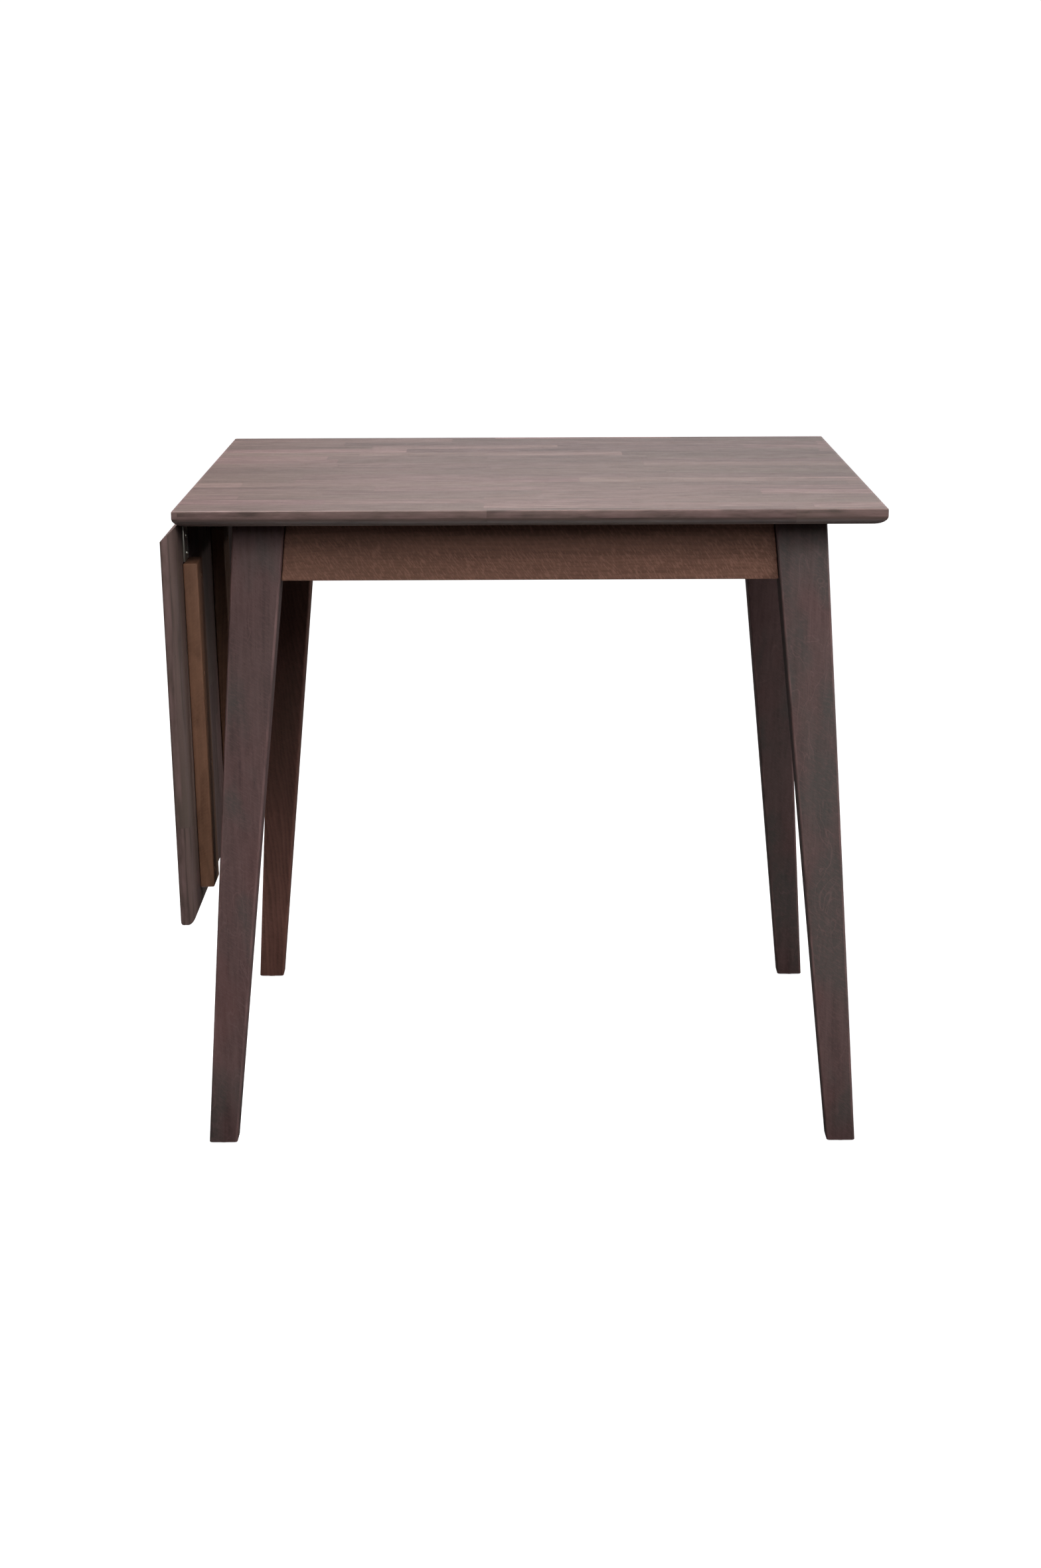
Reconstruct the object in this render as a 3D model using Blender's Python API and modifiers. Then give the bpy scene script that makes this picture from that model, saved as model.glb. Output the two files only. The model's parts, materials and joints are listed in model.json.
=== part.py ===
"""Drop-leaf table: a square top on four splayed, tapered legs, with one hinged leaf.

Metres, +Z up. The origin is on the floor under the middle of the whole table with
its leaf down; pieces are placed from the centre of the square top. The front is -Y
and the leaf hangs at -X. The leaf swings up about its hinge line to lie level with
the top, and a folding stay follows it.
"""
import math

import bmesh
import bpy
from mathutils import Matrix, Vector

# ---------------------------------------------------------------- dimensions
CENTRE_X = 0.0069         # the square top's centre, from the origin
HEIGHT = 0.750            # floor to the top surface
TOP_SIDE = 0.804          # the top is square
TOP_THICK = 0.019
EDGE_FACE = 0.0083        # upright part of the top's edge
UNDER_ROUND = 0.019       # how far the edge's under-round runs inwards
GAP = 0.0003              # between solids that touch
PAST = 0.001              # how far a cutter runs past what it cuts

LEG_OUT_TOP = 0.3390      # outer face from the centre, under the top
LEG_IN_TOP = 0.2792       # inner face, under the top
LEG_OUT_FOOT = 0.3798
LEG_IN_FOOT = 0.3468
LEG_EDGE = 0.003          # rounding of the legs' long edges
APRON_EDGE = 0.0015

APRON_OUT = 0.3313        # outer face of the aprons
APRON_THICK = 0.020
APRON_HIGH = 0.0700

GLIDE_HIGH = 0.0016
GLIDE_RADIUS = 0.011
GLIDE_EDGE = 0.0005

BLOCK_THICK = 0.022       # corner blocks
BLOCK_HIGH = 0.045
BLOCK_Z = 0.7005          # height of the blocks' middle and of their bolts
BOLT_RADIUS = 0.004
BOLT_LENGTH = 0.060
BOLT_INTO_LEG = 0.022
BOLT_EDGE = 0.0008
NUT_RADIUS = 0.0075
NUT_THICK = 0.0065

CLIP_LONG = 0.030         # clips that hold the top down on the aprons
CLIP_FLANGE = 0.022
CLIP_THICK = 0.002

HINGE_X = -0.3973         # hinge line, in the plane of the top's underside
HINGE_WIDE = 0.038
HINGE_FLAP = 0.0465       # hinge line to a flap's far edge
HINGE_THICK = 0.002
KNUCKLE_RADIUS = 0.0027
KNUCKLE_ROOM = 0.0006     # clear space around a turning knuckle
KNUCKLE_LONG = 0.0122     # each of the two knuckles on the fixed flap
PIN_RADIUS = 0.0014
HINGE_PITCH = 0.3235      # spacing of the three hinges and of the battens
HINGE_SCREWS = (0.018, 0.038)      # from the hinge line, along a flap

LEAF_REACH = 0.4593       # hinge line to the free edge
LEAF_START = 0.0152       # hinge line to the upper arris of the mitred edge
LEAF_LIP = 0.0015         # how far the mitre's lower arris passes the hinge line
LEAF_LEAN = math.radians(1.6)      # the leaf hangs with its weight under its hinges
LEAF_SWING = math.radians(90.0) + LEAF_LEAN

BATTEN_THICK = 0.0165
BATTEN_WIDE = 0.058
BATTEN_FROM = 0.047       # hinge line to the near end
BATTEN_TO = 0.4268
BATTEN_EDGE = 0.0012

SCREW_HEAD = 0.0034
SCREW_DOME = 0.0019
SCREW_SHANK = 0.0016
SCREW_LONG = 0.0128
SCREW_TIP = 0.002
SCREW_HOLE = 0.0112       # pilot holes' depth in the leaf
TRACK_HOLE = 0.0146       # pilot holes' depth in the middle batten

STAY_PIVOT = (0.0482, -0.051)      # from the hinge line: inwards, and down
STAY_LONG = 0.220                  # pivot to slide pin
STAY_SLOT_DEPTH = 0.024            # slot's ends below the leaf's underside
STAY_WIDE = 0.016
STAY_THICK = 0.003
STAY_PIN_RADIUS = 0.003
STAY_SLOT_CLEAR = 0.0005
TRACK_THICK = 0.003
TRACK_RIM = 0.0095        # slot's middle to the track's edge
LUG_OFFSET = 0.016        # slot's ends to the middles of the track's screw lugs
LUG_HALF = 0.009
LUG_REACH = (-0.028, -0.004)       # a lug's low and high edge under the leaf
BRACKET_THICK = 0.0025
BRACKET_HALF = 0.016      # half the width of the plate on the apron
BRACKET_REACH = (-0.014, 0.022)    # the plate's low and high edge about the pivot
BRACKET_EAR = 0.008       # ear radius about the pivot
EAR_ROOM = 0.001          # between the arm and each ear
PIVOT_STICKS_OUT = 0.0015
PIN_EDGE = 0.0006
SLIDE_HEAD = (0.0050, 0.0042)      # radius, and height above the arm's middle
SLIDE_TAIL = 0.0092       # slide pin's end below the arm's middle

# derived
UNDERSIDE = HEIGHT - TOP_THICK
FRAME_TOP = UNDERSIDE - GAP
FOOT_Z = GLIDE_HIGH + GAP
HINGE_LINE = Vector((HINGE_X, 0.0, UNDERSIDE))
TRACK_Y = BATTEN_WIDE / 2 + GAP + TRACK_THICK / 2
STAY_Y = TRACK_Y + TRACK_THICK / 2 + 0.0012 + STAY_THICK / 2
HINGES = {"front": -HINGE_PITCH, "middle": 0.0, "back": HINGE_PITCH}
CORNERS = {
    "front_left": (-1, -1),
    "front_right": (1, -1),
    "back_left": (-1, 1),
    "back_right": (1, 1),
}


# ---------------------------------------------------------------- scene
for old in list(bpy.data.objects):
    bpy.data.objects.remove(old, do_unlink=True)

PARTS = bpy.data.collections.new("drop_leaf_table")
TOOLS = bpy.data.collections.new("cutters")
for group in (PARTS, TOOLS):
    bpy.context.scene.collection.children.link(group)
CENTRE = bpy.data.objects.new("square_centre", None)
PARTS.objects.link(CENTRE)
CENTRE.location.x = CENTRE_X


def linear(channel):
    """One sRGB channel, 0 to 255, as the linear value a shader takes."""
    c = channel / 255.0
    return c / 12.92 if c <= 0.04045 else ((c + 0.055) / 1.055) ** 2.4


def material(name, srgb, roughness, metallic=0.0):
    made = bpy.data.materials.new(name)
    made.use_nodes = True
    shader = made.node_tree.nodes["Principled BSDF"]
    shader.inputs["Base Color"].default_value = (*[linear(v) for v in srgb], 1.0)
    shader.inputs["Roughness"].default_value = roughness
    shader.inputs["Metallic"].default_value = metallic
    return made


WOODS = {
    "top": ((142, 124, 121), 0.45),
    "leg": ((86, 73, 73), 0.55),
    "apron": ((84, 62, 52), 0.55),
    "batten": ((104, 78, 60), 0.60),
    "block": ((150, 122, 92), 0.65),
}
METALS = {
    "hinge": ((150, 148, 142), 0.35),
    "fastener": ((165, 163, 158), 0.30),
    "stay": ((120, 119, 116), 0.40),
}


def paint(obj, finish):
    if finish in WOODS:
        colour, roughness = WOODS[finish]
        made = material(obj.name + "_wood", colour, roughness)
    elif finish in METALS:
        colour, roughness = METALS[finish]
        made = material(obj.name + "_metal", colour, roughness, 1.0)
    else:
        made = material(obj.name + "_nylon", (52, 48, 46), 0.5)
    obj.data.materials.append(made)


# ---------------------------------------------------------------- helpers
def new_object(name, data, parent=None):
    obj = bpy.data.objects.new(name, data)
    PARTS.objects.link(obj)
    obj.parent = parent or CENTRE
    return obj


def mesh_object(name, bm, parent=None):
    bmesh.ops.recalc_face_normals(bm, faces=bm.faces)
    data = bpy.data.meshes.new(name)
    bm.to_mesh(data)
    bm.free()
    return new_object(name, data, parent)


def pivot(name, location, angle=0.0):
    """An empty on a joint's axis, turned about Y."""
    empty = bpy.data.objects.new(name, None)
    PARTS.objects.link(empty)
    empty.parent = CENTRE
    empty.location = location
    empty.rotation_euler = (0.0, angle, 0.0)
    return empty


def box(name, low, high, parent=None, edge=0.0):
    """A box between two corners, with its long edges rounded when edge is given."""
    low, high = Vector(low), Vector(high)
    bm = bmesh.new()
    bmesh.ops.create_cube(bm, size=1.0)
    bmesh.ops.scale(bm, vec=high - low, verts=bm.verts)
    bmesh.ops.translate(bm, vec=(high + low) / 2, verts=bm.verts)
    obj = mesh_object(name, bm, parent)
    if edge:
        round_edges(obj, edge)
    return obj


def tapered_box(name, z_low, rect_low, z_high, rect_high, parent=None):
    """A box whose two end rectangles, (x0, x1, y0, y1), differ."""
    bm = bmesh.new()
    bmesh.ops.create_cube(bm, size=2.0)
    for vert in bm.verts:
        x0, x1, y0, y1 = rect_high if vert.co.z > 0 else rect_low
        vert.co = (
            x1 if vert.co.x > 0 else x0,
            y1 if vert.co.y > 0 else y0,
            z_high if vert.co.z > 0 else z_low,
        )
    return mesh_object(name, bm, parent)


def round_edges(obj, width, segments=2):
    bevel = obj.modifiers.new("round", "BEVEL")
    bevel.width = width
    bevel.segments = segments
    bevel.limit_method = "ANGLE"
    bevel.angle_limit = math.radians(40)


def smooth(obj, angle=35.0):
    obj.data.shade_smooth()
    obj.data.set_sharp_from_angle(angle=math.radians(angle))


def aim(obj, point, direction, up=(0.0, 0.0, 1.0)):
    """Put obj's origin at point with its +Z along direction and its +Y near up."""
    z = Vector(direction).normalized()
    x = Vector(up).cross(z).normalized()
    y = z.cross(x)
    turn = Matrix((x, y, z)).transposed().to_4x4()
    obj.matrix_local = Matrix.Translation(point) @ turn


def turned(name, profile, segments=20, parent=None):
    """A solid of revolution about Z; profile runs (radius, z) from the top down."""
    bm = bmesh.new()
    points = [bm.verts.new((radius, 0.0, z)) for radius, z in profile]
    for first, second in zip(points, points[1:]):
        bm.edges.new((first, second))
    data = bpy.data.meshes.new(name)
    bm.to_mesh(data)
    bm.free()
    obj = new_object(name, data, parent)
    screw = obj.modifiers.new("turn", "SCREW")
    screw.steps = segments
    screw.render_steps = segments
    screw.use_merge_vertices = True
    screw.merge_threshold = 0.00001
    screw.use_smooth_shade = True
    return obj


def rod(name, radius, start, end, parent=None, segments=20, chamfer=0.0):
    """A cylinder between two points, with chamfered ends when asked."""
    start, end = Vector(start), Vector(end)
    long = (end - start).length
    if chamfer:
        profile = [(0.0, long), (radius - chamfer, long), (radius, long - chamfer)]
        profile += [(radius, chamfer), (radius - chamfer, 0.0), (0.0, 0.0)]
    else:
        profile = [(0.0, long), (radius, long), (radius, 0.0), (0.0, 0.0)]
    obj = turned(name, profile, segments, parent)
    up = (0.0, 0.0, 1.0) if abs((end - start).normalized().z) < 0.9 else (0.0, 1.0, 0.0)
    aim(obj, start, end - start, up)
    return obj


def plate(name, loops, thick, parent=None):
    """A flat plate in X and Z, centred on y = 0; the loops after the first are holes."""
    curve = bpy.data.curves.new(name, "CURVE")
    curve.dimensions = "2D"
    curve.fill_mode = "BOTH"
    curve.extrude = thick / 2
    for loop in loops:
        spline = curve.splines.new("POLY")
        spline.points.add(len(loop) - 1)
        for point, (x, z) in zip(spline.points, loop):
            point.co = (x, z, 0.0, 1.0)
        spline.use_cyclic_u = True
    flat = bpy.data.objects.new(name + "_outline", curve)
    TOOLS.objects.link(flat)
    graph = bpy.context.evaluated_depsgraph_get()
    data = bpy.data.meshes.new_from_object(flat.evaluated_get(graph))
    data.name = name
    bpy.data.objects.remove(flat, do_unlink=True)
    bm = bmesh.new()
    bm.from_mesh(data)
    bmesh.ops.remove_doubles(bm, verts=bm.verts, dist=0.000001)
    bmesh.ops.recalc_face_normals(bm, faces=bm.faces)
    bmesh.ops.rotate(bm, matrix=Matrix.Rotation(math.radians(90), 3, "X"), verts=bm.verts)
    bm.to_mesh(data)
    bm.free()
    return new_object(name, data, parent)


def as_tool(obj):
    """Keep a shape as a Boolean operand that isn't a piece itself."""
    PARTS.objects.unlink(obj)
    TOOLS.objects.link(obj)
    obj.hide_render = True
    obj.display_type = "WIRE"
    return obj


def combine(obj, operation, *tools):
    for tool in tools:
        step = obj.modifiers.new(operation.lower(), "BOOLEAN")
        step.operation = operation
        step.solver = "EXACT"
        step.object = as_tool(tool) if tool.name in PARTS.objects else tool
    return obj


def circle(x, z, radius, count=20):
    turns = [2 * math.pi * k / count for k in range(count)]
    return [(x + radius * math.cos(t), z + radius * math.sin(t)) for t in turns]


def band(path, half, cap=8):
    """The outline at a distance half around an open path, with round ends."""
    points = [Vector(p) for p in path]
    sides = []
    for index in range(len(points)):
        before, after = points[max(index - 1, 0)], points[min(index + 1, len(points) - 1)]
        along = (after - before).normalized()
        sides.append(Vector((-along.y, along.x)))
    outline = [p + half * s for p, s in zip(points, sides)]
    for centre, side in ((points[-1], sides[-1]), (points[0], -sides[0])):
        turn = [Matrix.Rotation(-math.pi * k / cap, 2) for k in range(1, cap)]
        outline += [centre + half * (m @ side) for m in turn]
        if centre == points[-1]:
            outline += [p - half * s for p, s in zip(reversed(points), reversed(sides))]
    return [tuple(p) for p in outline]


# ---------------------------------------------------------------- top and leaf panels
def panel(name, low, high, parent=None):
    """A board with an upright upper edge and a long, shallow under-round.

    The round is cut as a circle on a board stretched in height, which makes it
    an ellipse when the board is pressed back to its thickness.
    """
    low, high = Vector(low), Vector(high)
    stretch = UNDER_ROUND / (TOP_THICK - EDGE_FACE)
    size = high - low
    bm = bmesh.new()
    bmesh.ops.create_cube(bm, size=1.0)
    bmesh.ops.scale(bm, vec=(size.x, size.y, size.z * stretch), verts=bm.verts)
    under = [e for e in bm.edges if all(v.co.z < 0 for v in e.verts)]
    bmesh.ops.bevel(
        bm, geom=under, offset=UNDER_ROUND, offset_type="OFFSET", segments=7,
        profile=0.5, affect="EDGES", clamp_overlap=False,
    )
    bmesh.ops.scale(bm, vec=(1.0, 1.0, 1.0 / stretch), verts=bm.verts)
    bmesh.ops.translate(bm, vec=(high + low) / 2, verts=bm.verts)
    return mesh_object(name, bm, parent)


def build_top():
    half = TOP_SIDE / 2
    top = panel("table_top", (-half, -half, UNDERSIDE), (half, half, HEIGHT))
    smooth(top, 25)
    paint(top, "top")


def build_leaf(swing):
    """The leaf in its raised place about the hinge line, which swing turns to rest."""
    half = TOP_SIDE / 2
    leaf = panel("leaf_panel", (-LEAF_REACH, -half, 0.0), (UNDER_ROUND * 2, half, TOP_THICK), swing)
    bm = bmesh.new()
    bm.from_mesh(leaf.data)
    cut = bmesh.ops.bisect_plane(
        bm, geom=bm.verts[:] + bm.edges[:] + bm.faces[:], dist=0.000001,
        plane_co=(-LEAF_START, 0.0, TOP_THICK),
        plane_no=(TOP_THICK, 0.0, LEAF_START + LEAF_LIP), clear_outer=True,
    )
    rim = [g for g in cut["geom_cut"] if isinstance(g, bmesh.types.BMEdge)]
    bmesh.ops.holes_fill(bm, edges=rim)
    bmesh.ops.recalc_face_normals(bm, faces=bm.faces)
    bm.to_mesh(leaf.data)
    bm.free()
    tools = []
    for place, y in HINGES.items():
        reach = HINGE_WIDE / 2 + PAST
        tools.append(rod(
            "knuckle_pocket_" + place, KNUCKLE_RADIUS + KNUCKLE_ROOM,
            (0, y - reach, 0), (0, y + reach, 0), swing,
        ))
        for index, x in enumerate(HINGE_SCREWS, start=1):
            tools.append(rod(
                f"pilot_{place}_{index}", SCREW_SHANK + GAP,
                (-x, y, -PAST), (-x, y, SCREW_HOLE), swing, 12,
            ))
    combine(leaf, "DIFFERENCE", *tools)
    smooth(leaf, 25)
    paint(leaf, "top")

    for place, y in HINGES.items():
        batten = box(
            "leaf_batten_" + place,
            (-BATTEN_TO, y - BATTEN_WIDE / 2, -GAP - BATTEN_THICK),
            (-BATTEN_FROM, y + BATTEN_WIDE / 2, -GAP), swing, edge=BATTEN_EDGE,
        )
        paint(batten, "batten")


# ---------------------------------------------------------------- legs, aprons, blocks
def leg_face(top, foot, z):
    """Distance from the centre of a leg's face at height z."""
    return top + (foot - top) * (UNDERSIDE - z) / UNDERSIDE


def span(sign, a, b):
    """Low and high end of the stretch from a to b on the side that sign gives."""
    return tuple(sorted((sign * a, sign * b)))


def build_legs():
    diagonal = math.sqrt(0.5)
    corner = leg_face(LEG_IN_TOP, LEG_IN_FOOT, BLOCK_Z + BLOCK_HIGH / 2) - GAP
    outer = 2 * corner * diagonal              # block's outer face along the diagonal
    inner = outer - BLOCK_THICK
    wall = APRON_OUT - APRON_THICK - GAP
    half_outer = wall / diagonal - outer
    half_inner = wall / diagonal - inner
    bolt_end = 2 * leg_face(LEG_IN_TOP, LEG_IN_FOOT, BLOCK_Z) * diagonal + BOLT_INTO_LEG
    for place, (sx, sy) in CORNERS.items():
        ends = []
        for z in (FOOT_Z, FRAME_TOP):
            out = leg_face(LEG_OUT_TOP, LEG_OUT_FOOT, z)
            inside = leg_face(LEG_IN_TOP, LEG_IN_FOOT, z)
            ends.append((z, span(sx, inside, out) + span(sy, inside, out)))
        (z0, rect0), (z1, rect1) = ends
        leg = tapered_box("leg_" + place, z0, rect0, z1, rect1)
        round_edges(leg, LEG_EDGE)
        way = Vector((sx, sy, 0.0)) * diagonal
        middle = Vector((0.0, 0.0, BLOCK_Z))
        hole = rod(
            "bolt_hole_" + place, BOLT_RADIUS + GAP,
            middle + way * (bolt_end - BOLT_LENGTH), middle + way * (bolt_end + PAST),
        )
        combine(leg, "DIFFERENCE", hole)
        paint(leg, "leg")

        block = tapered_box(
            "corner_block_" + place,
            inner, (-half_inner, half_inner, -BLOCK_HIGH / 2, BLOCK_HIGH / 2),
            outer, (-half_outer, half_outer, -BLOCK_HIGH / 2, BLOCK_HIGH / 2),
        )
        aim(block, middle, way)
        combine(block, "DIFFERENCE", hole)
        paint(block, "block")

        bolt = rod(
            "hanger_bolt_" + place, BOLT_RADIUS,
            middle + way * (bolt_end - BOLT_LENGTH), middle + way * bolt_end,
            chamfer=BOLT_EDGE,
        )
        paint(bolt, "fastener")
        nut = rod(
            "hanger_nut_" + place, NUT_RADIUS,
            middle + way * (inner - GAP - NUT_THICK), middle + way * (inner - GAP), segments=6,
        )
        combine(nut, "DIFFERENCE", hole)
        paint(nut, "fastener")

        foot = (LEG_OUT_FOOT + LEG_IN_FOOT) / 2
        glide = rod(
            "foot_glide_" + place, GLIDE_RADIUS,
            (sx * foot, sy * foot, 0.0), (sx * foot, sy * foot, GLIDE_HIGH),
            chamfer=GLIDE_EDGE,
        )
        paint(glide, "glide")


def build_aprons():
    low = FRAME_TOP - APRON_HIGH
    reach = [leg_face(LEG_IN_TOP, LEG_IN_FOOT, z) - GAP for z in (low, FRAME_TOP)]
    for place, side in {"front": -1, "back": 1, "left": -1, "right": 1}.items():
        across = span(side, APRON_OUT - APRON_THICK, APRON_OUT)
        rects = [
            (-r, r) + across if place in ("front", "back") else across + (-r, r)
            for r in reach
        ]
        apron = tapered_box("apron_" + place, low, rects[0], FRAME_TOP, rects[1])
        round_edges(apron, APRON_EDGE)
        paint(apron, "apron")

        clip = plate("top_clip_" + place, [clip_outline()], CLIP_LONG)
        turn = {"front": -90, "back": 90, "left": 180, "right": 0}[place]
        clip.rotation_euler = (0.0, 0.0, math.radians(turn))
        paint(clip, "fastener")


def clip_outline():
    """An angle clip in the corner of an apron's inner face and the top's underside."""
    wall = APRON_OUT - APRON_THICK - GAP
    roof = UNDERSIDE - GAP
    return [
        (wall, roof), (wall, roof - CLIP_FLANGE), (wall - CLIP_THICK, roof - CLIP_FLANGE),
        (wall - CLIP_THICK, roof - CLIP_THICK), (wall - CLIP_FLANGE, roof - CLIP_THICK),
        (wall - CLIP_FLANGE, roof),
    ]


# ---------------------------------------------------------------- hinges
def flap_outline(side):
    """A flap's section: a plate under the wood that runs into a knuckle about the origin."""
    low, high = -GAP - HINGE_THICK, -GAP
    first = math.asin(high / KNUCKLE_RADIUS)
    last = 2 * math.pi + math.asin(low / KNUCKLE_RADIUS)
    steps = 18
    turns = [first + (last - first) * k / steps for k in range(steps + 1)]
    outline = [(KNUCKLE_RADIUS * math.cos(t), KNUCKLE_RADIUS * math.sin(t)) for t in turns]
    outline += [(HINGE_FLAP, low), (HINGE_FLAP, high)]
    return [(side * x, z) for x, z in outline]


def hinge_flap(name, side, y, other_zones, parent):
    """One flap, cleared where the other flap's knuckles turn."""
    bore = circle(0.0, 0.0, PIN_RADIUS + GAP, 16)
    flap = plate(name, [flap_outline(side), bore], HINGE_WIDE, parent)
    flap.location = (0.0, y, 0.0)
    clear = KNUCKLE_RADIUS + KNUCKLE_ROOM
    x0, x1 = span(side, -clear - PAST, clear)
    for index, (start, stop) in enumerate(other_zones):
        room = box(
            f"{name}_room_{index}",
            (x0, y + start, -clear - PAST), (x1, y + stop, clear + PAST), parent,
        )
        combine(flap, "DIFFERENCE", room)
    return flap


def build_hinges(swing, line):
    half = HINGE_WIDE / 2
    knuckle = half - KNUCKLE_LONG
    middle = [(-knuckle, knuckle)]
    ends = [(-half - PAST, GAP - knuckle), (knuckle - GAP, half + PAST)]
    for place, y in HINGES.items():
        paint(hinge_flap("hinge_fixed_flap_" + place, 1, y, middle, line), "hinge")
        flap = hinge_flap("hinge_leaf_flap_" + place, -1, y, ends, swing)
        pin = rod(
            "hinge_pin_" + place, PIN_RADIUS, (0, y - half, 0), (0, y + half, 0), line,
            chamfer=GAP,
        )
        paint(pin, "hinge")
        for index, x in enumerate(HINGE_SCREWS, start=1):
            hole = rod(
                f"flap_hole_{place}_{index}", SCREW_SHANK + GAP,
                (-x, y, -GAP - HINGE_THICK - PAST), (-x, y, PAST), swing, 12,
            )
            combine(flap, "DIFFERENCE", hole)
            seat = -2 * GAP - HINGE_THICK
            screw = round_head_screw(f"hinge_screw_{place}_{index}", swing)
            aim(screw, (-x, y, seat), (0, 0, -1), up=(0, 1, 0))
            paint(screw, "fastener")
        paint(flap, "hinge")


def round_head_screw(name, parent):
    """A domed head above its own origin and a shank below it, both along Z."""
    steps = 4
    turns = [math.pi / 2 * k / steps for k in range(steps + 1)]
    profile = [(SCREW_HEAD * math.sin(t), SCREW_DOME * math.cos(t)) for t in turns]
    profile += [(SCREW_SHANK, 0.0), (SCREW_SHANK, SCREW_TIP - SCREW_LONG), (0.0, -SCREW_LONG)]
    return turned(name, profile, 12, parent)


# ---------------------------------------------------------------- folding stay
def stay_angle(alpha):
    """The stay's angle that puts its pin at the slot's end depth, for a leaf at alpha.

    Both are measured from straight down, outwards.
    """
    inwards, down = STAY_PIVOT[0], -STAY_PIVOT[1]
    reach = inwards * math.cos(alpha) + down * math.sin(alpha) - STAY_SLOT_DEPTH
    return alpha + math.asin(reach / STAY_LONG)


STAY_REST = stay_angle(-LEAF_LEAN)
STAY_UP = stay_angle(math.radians(90.0))


def slot_point(share):
    """The slide pin's place on the leaf, (x, z) with the leaf raised, at a share of the swing."""
    alpha = -LEAF_LEAN + share * LEAF_SWING
    phi = STAY_REST + share * (STAY_UP - STAY_REST)
    inwards, down = STAY_PIVOT[0], -STAY_PIVOT[1]
    along = -inwards * math.sin(alpha) + down * math.cos(alpha) + STAY_LONG * math.cos(phi - alpha)
    below = inwards * math.cos(alpha) + down * math.sin(alpha) - STAY_LONG * math.sin(phi - alpha)
    return (-along, -below)


def build_stay(swing, line):
    # curved track on the middle batten's side: the pin runs in it as the leaf swings
    steps = 18
    path = [slot_point(k / steps) for k in range(steps + 1)]
    slot = band(path, STAY_PIN_RADIUS + STAY_SLOT_CLEAR)
    rim = band(path, TRACK_RIM)
    first, last = path[-1], path[0]
    lugs = [first[0] + LUG_OFFSET, last[0] - LUG_OFFSET]
    lug_z = -GAP - BATTEN_THICK / 2
    track = plate("stay_track", [rim, slot], TRACK_THICK, swing)
    track.location = (0.0, TRACK_Y, 0.0)
    for index, x in enumerate(lugs, start=1):
        ear = box(
            f"stay_track_lug_{index}",
            (x - LUG_HALF, TRACK_Y - TRACK_THICK / 2, LUG_REACH[0]),
            (x + LUG_HALF, TRACK_Y + TRACK_THICK / 2, LUG_REACH[1]), swing,
        )
        ear_hole = rod(
            f"stay_track_hole_{index}", SCREW_SHANK + GAP,
            (x, BATTEN_WIDE / 2 - TRACK_HOLE, lug_z),
            (x, TRACK_Y + TRACK_THICK / 2 + PAST, lug_z), swing, 12,
        )
        combine(track, "UNION", ear)
        combine(track, "DIFFERENCE", ear_hole)
        combine(bpy.data.objects["leaf_batten_middle"], "DIFFERENCE", ear_hole)
        screw = round_head_screw(f"stay_track_screw_{index}", swing)
        aim(screw, (x, TRACK_Y + TRACK_THICK / 2 + GAP, lug_z), (0, 1, 0))
        paint(screw, "fastener")
    paint(track, "stay")

    # bracket on the left apron's outer face, with two ears about the stay's pivot
    wall = -APRON_OUT - GAP - HINGE_LINE.x
    px, pz = STAY_PIVOT
    ear_gap = STAY_THICK / 2 + EAR_ROOM
    low, high = (pz + reach for reach in BRACKET_REACH)
    bracket = box(
        "stay_bracket",
        (wall - BRACKET_THICK, STAY_Y - BRACKET_HALF, low),
        (wall, STAY_Y + BRACKET_HALF, high), line,
    )
    for index, side in enumerate((-1, 1)):
        y0, y1 = sorted((STAY_Y + side * ear_gap, STAY_Y + side * (ear_gap + BRACKET_THICK)))
        web = box(
            f"stay_bracket_web_{index}",
            (px, y0, pz - BRACKET_EAR), (wall - BRACKET_THICK / 2, y1, pz + BRACKET_EAR), line,
        )
        eye = rod(f"stay_bracket_eye_{index}", BRACKET_EAR, (px, y0, pz), (px, y1, pz), line, 24)
        combine(bracket, "UNION", web, eye)
    half = ear_gap + BRACKET_THICK + PIVOT_STICKS_OUT
    bore = rod(
        "stay_bracket_bore", STAY_PIN_RADIUS + GAP,
        (px, STAY_Y - half, pz), (px, STAY_Y + half, pz), line,
    )
    combine(bracket, "DIFFERENCE", bore)
    paint(bracket, "stay")
    pin = rod(
        "stay_pivot_pin", STAY_PIN_RADIUS,
        (px, STAY_Y - half, pz), (px, STAY_Y + half, pz), line, chamfer=PIN_EDGE,
    )
    paint(pin, "fastener")

    # the arm hangs along local -Z from its pivot and turns with the leaf
    fold = pivot("stay_fold", HINGE_LINE + Vector((px, 0.0, pz)), STAY_REST)
    bar = band([(0.0, -STAY_LONG * k / 4) for k in range(5)], STAY_WIDE / 2)
    holes = [circle(0.0, z, STAY_PIN_RADIUS + GAP) for z in (0.0, -STAY_LONG)]
    arm = plate("stay_arm", [bar] + holes, STAY_THICK, fold)
    arm.location = (0.0, STAY_Y, 0.0)
    paint(arm, "stay")
    wide, head = SLIDE_HEAD
    slide = turned(
        "stay_slide_pin",
        [
            (0.0, head), (wide - PIN_EDGE, head), (wide, head - PIN_EDGE),
            (wide, STAY_THICK / 2 + GAP), (STAY_PIN_RADIUS, STAY_THICK / 2 + GAP),
            (STAY_PIN_RADIUS, PIN_EDGE - SLIDE_TAIL), (STAY_PIN_RADIUS - PIN_EDGE, -SLIDE_TAIL),
            (0.0, -SLIDE_TAIL),
        ],
        20, fold,
    )
    aim(slide, (0.0, STAY_Y, -STAY_LONG), (0, 1, 0))
    paint(slide, "fastener")


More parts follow.
